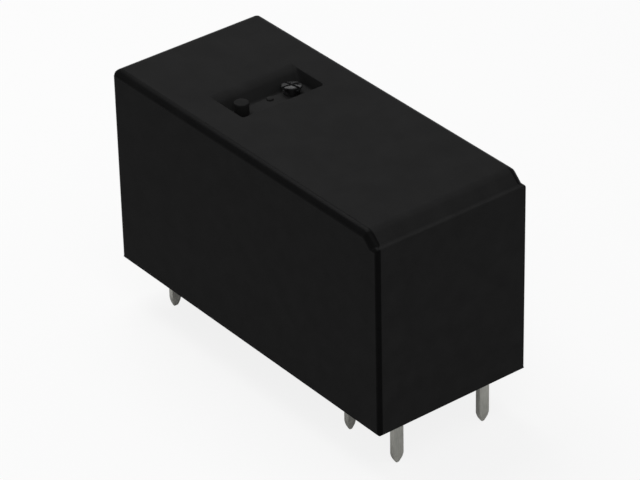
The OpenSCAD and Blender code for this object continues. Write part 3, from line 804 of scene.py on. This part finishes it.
def wind(name, centre, axis, radius, pitch, turns, wire):
    """Winds a round wire into a helix about the X or the Z axis through a point."""
    bpy.ops.object.select_all(action="DESELECT")
    tilt = math.pi / 2 if axis == "Z" else 0
    bpy.ops.mesh.primitive_circle_add(
        vertices=WIRE_SIDES, radius=wire / 2, location=centre, rotation=(0, tilt, 0)
    )
    helix = bpy.context.active_object
    bpy.ops.object.transform_apply(location=False, rotation=True, scale=False)
    edit(helix, "VERT")
    bpy.ops.mesh.select_all(action="SELECT")
    bpy.ops.transform.translate(value=(0, radius, 0))
    leave_edit()
    apply_modifier(
        helix, "SCREW", axis=axis, screw_offset=pitch, iterations=turns,
        steps=WIRE_STEPS, render_steps=WIRE_STEPS,
    )
    edit(helix, "VERT")
    bpy.ops.mesh.select_non_manifold()
    bpy.ops.mesh.fill_holes(sides=WIRE_SIDES)
    bpy.ops.mesh.select_all(action="SELECT")
    bpy.ops.mesh.normals_make_consistent(inside=False)
    leave_edit()
    return name_piece(name)


print("winding helper ready")

# %% Outer layer and sleeve
wire, tape_thickness, gap = 0.12 * MM, 0.1 * MM, 0.05 * MM
bare_length, tube_radius = 1.2 * MM, 1.85 * MM

tape_low, tape_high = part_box("coil_tape")
coil_z = (tape_low.z + tape_high.z) / 2
coil_radius = (tape_high.z - tape_low.z) / 2 - tape_thickness - gap
coil_x = (tape_low.x - bare_length + gap, tape_high.x)
coil_length = coil_x[1] - coil_x[0]
turns = int((coil_length - wire) / wire)

layer_radius = coil_radius - wire / 2
layer_start = (coil_x[0] + wire / 2, 0, coil_z)
pitch = (coil_length - wire) / turns
coil = wind("wound_coil", layer_start, "X", layer_radius, pitch, turns, wire)
on_axis = [Vector((x, 0, coil_z)) for x in coil_x]
sleeve = add_round("sleeve", layer_radius, *on_axis)
overrun = Vector((gap, 0, 0))
fuse(sleeve, add_round("bore", tube_radius + gap, on_axis[0] - overrun, on_axis[1] + overrun), "DIFFERENCE")
print("outer layer of", turns, "turns")

# %% Leads and their wraps on the coil pins
lead_z, post_wrap_radius, post_turns = 5.7 * MM, 0.446 * MM, 4

lead_y = math.sqrt((coil_radius - wire) ** 2 - (coil_z - lead_z) ** 2)
wire_parts = [coil, sleeve]
for node, side in (("coil_terminal_1", -1), ("coil_terminal_2", 1)):
    pin_low, pin_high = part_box(node)
    post = (pin_low + pin_high) / 2
    lead = add_round(
        "lead", wire / 2, (coil_x[0] - gap + bare_length / 2, side * lead_y, lead_z),
        (post.x, post.y - side * post_wrap_radius, lead_z), sides=LEAD_SIDES,
    )
    wrap_start = (post.x, post.y, lead_z - post_turns * wire / 2)
    wire_parts += [lead, wind("wrap", wrap_start, "Z", post_wrap_radius, wire, post_turns, wire)]
select_only(coil)
for part in wire_parts:
    part.select_set(True)
bpy.ops.object.join()
smooth(coil)
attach(coil, BODY_OF["coil_winding"])
stand_for(coil, "coil_winding")
print("winding with", len(coil.data.polygons), "faces")

# %% [markdown]
# ## The sealing resin
# Resin is poured into the upturned cover, so its free face is the one towards the board. It creeps up
# at the walls and at the pins before it sets. A fine grid is pulled along the rim and around each pin
# with proportional editing, which leaves just such a hollow curve, and is then extruded to a slab.

# %% Poured resin with its creeping edge
cell, creep, wall_reach, pin_reach = 0.2 * MM, 0.12 * MM, 0.8 * MM, 0.5 * MM

resin_low, resin_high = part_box("sealing_resin")
slab = resin_high - resin_low
bpy.ops.object.select_all(action="DESELECT")
bpy.ops.mesh.primitive_grid_add(
    x_subdivisions=round(slab.x / cell), y_subdivisions=round(slab.y / cell), size=1,
    location=(0, 0, resin_low.z),
)
bpy.context.active_object.scale = (slab.x, slab.y, 1)
resin = name_piece("poured_resin")


def pull_down(test, reach):
    """Pulls the chosen points of the resin's face down, and those around them less and less."""
    choose_points(resin, test)
    bpy.ops.transform.translate(
        value=(0, 0, -creep), use_proportional_edit=True,
        proportional_edit_falloff="SHARP", proportional_size=reach,
    )


row_y, pin_half, sheet = 3.75 * MM, (0.45 * MM, 0.6 * MM), 0.45 * MM

edit(resin, "VERT")
pull_down(lambda p: near(abs(p.x), resin_high.x) or near(abs(p.y), resin_high.y), wall_reach)
for node in ("no_terminal", "com_terminal", "coil_terminal_1"):
    pin_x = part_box(node)[1].x - sheet / 2
    for y in (-row_y, row_y):
        pull_down(lambda p: abs(p.x - pin_x) < pin_half[0] and abs(p.y - y) < pin_half[1], pin_reach)
bpy.ops.mesh.select_all(action="SELECT")
bpy.ops.mesh.extrude_region_move(TRANSFORM_OT_translate={"value": (0, 0, slab.z)})
bpy.ops.transform.resize(value=(1, 1, 0), center_override=(0, 0, resin_high.z))
bpy.ops.mesh.select_all(action="SELECT")
bpy.ops.mesh.normals_make_consistent(inside=False)
leave_edit()
smooth(resin)
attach(resin, BODY_OF["sealing_resin"])
stand_for(resin, "sealing_resin")
print("resin with", len(resin.data.polygons), "faces")

# %% [markdown]
# ## Floor, world and light
# The relay stands on its pins on a pale floor. Soft lamps above it and before it give even light, and
# the floor and the world look white to the camera and in reflections, while the floor still keeps a
# soft shadow.

# %% Helper for what the rays see


def seen_share(tree, to_camera, to_gloss):
    """A value with one share for rays from the camera, and one for rays from gloss or through glass."""
    rays = tree.nodes.new("ShaderNodeLightPath")
    value = None
    for kind, share in (
        ("Is Camera Ray", to_camera), ("Is Glossy Ray", to_gloss), ("Is Transmission Ray", to_gloss)
    ):
        step = tree.nodes.new("ShaderNodeMath")
        step.operation = "MULTIPLY_ADD"
        step.inputs[1].default_value = share
        step.inputs[2].default_value = 0
        tree.links.new(rays.outputs[kind], step.inputs[0])
        if value:
            tree.links.new(value, step.inputs[2])
        value = step.outputs["Value"]
    return value


print("helper for rays ready")

# %% Floor
FLOOR_SIZE, FLOOR_TONE = 2.0, 0.85
WHITE_TO_CAMERA, WHITE_TO_GLOSS = 0.85, 0.1


def floor_finish():
    """A matt floor that looks white to the camera and keeps the shadow on it."""
    material, tree, shader, place = new_finish("pale_floor")
    shader.inputs["Base Color"].default_value = (FLOOR_TONE, FLOOR_TONE, FLOOR_TONE, 1)
    shader.inputs["Roughness"].default_value = 0.9
    shader.inputs["Specular IOR Level"].default_value = 0
    glow = tree.nodes.new("ShaderNodeEmission")
    mix = tree.nodes.new("ShaderNodeMixShader")
    tree.links.new(seen_share(tree, WHITE_TO_CAMERA, WHITE_TO_GLOSS), mix.inputs["Fac"])
    tree.links.new(shader.outputs["BSDF"], mix.inputs[1])
    tree.links.new(glow.outputs["Emission"], mix.inputs[2])
    tree.links.new(mix.outputs["Shader"], tree.nodes["Material Output"].inputs["Surface"])
    return material


bpy.ops.object.select_all(action="DESELECT")
bpy.ops.mesh.primitive_plane_add(size=FLOOR_SIZE, location=(0, 0, cad_box[0].z))
floor = name_piece("floor")
floor.data.materials.append(floor_finish())
print("floor at", round(cad_box[0].z / MM, 2), "mm")

# %% World
AMBIENT = 0.3

world = bpy.data.worlds.new("world")
bpy.context.scene.world = world
world.use_nodes = True
background = world.node_tree.nodes["Background"]
background.inputs["Color"].default_value = (1, 1, 1, 1)
strength = world.node_tree.nodes.new("ShaderNodeMapRange")
strength.inputs["To Min"].default_value = AMBIENT
strength.inputs["To Max"].default_value = 1
world.node_tree.links.new(seen_share(world.node_tree, 1, 1), strength.inputs["Value"])
world.node_tree.links.new(strength.outputs["Result"], background.inputs["Strength"])
bpy.context.scene.view_settings.view_transform = "Standard"
print("white world, with a share of", AMBIENT, "as light")

# %% Lamps
# The place, width and power of each lamp, in metres and watts
LAMPS = {
    "top": ((-0.06, 0, 0.14), 0.10, 0.13),
    "front": ((0.23, -0.12, 0.40), 0.30, 0.45),
    "right": ((0.40, 0.25, 0.15), 0.25, 0.20),
}
for lamp_name, (place, width, power) in LAMPS.items():
    lamp = bpy.data.lights.new(lamp_name, "AREA")
    lamp.size = width
    lamp.energy = power
    holder = bpy.data.objects.new(lamp_name, lamp)
    holder.location = place
    holder.rotation_euler = (aim - Vector(place)).to_track_quat("-Z", "Y").to_euler()
    bpy.context.scene.collection.objects.link(holder)
print(len(LAMPS), "lamps")
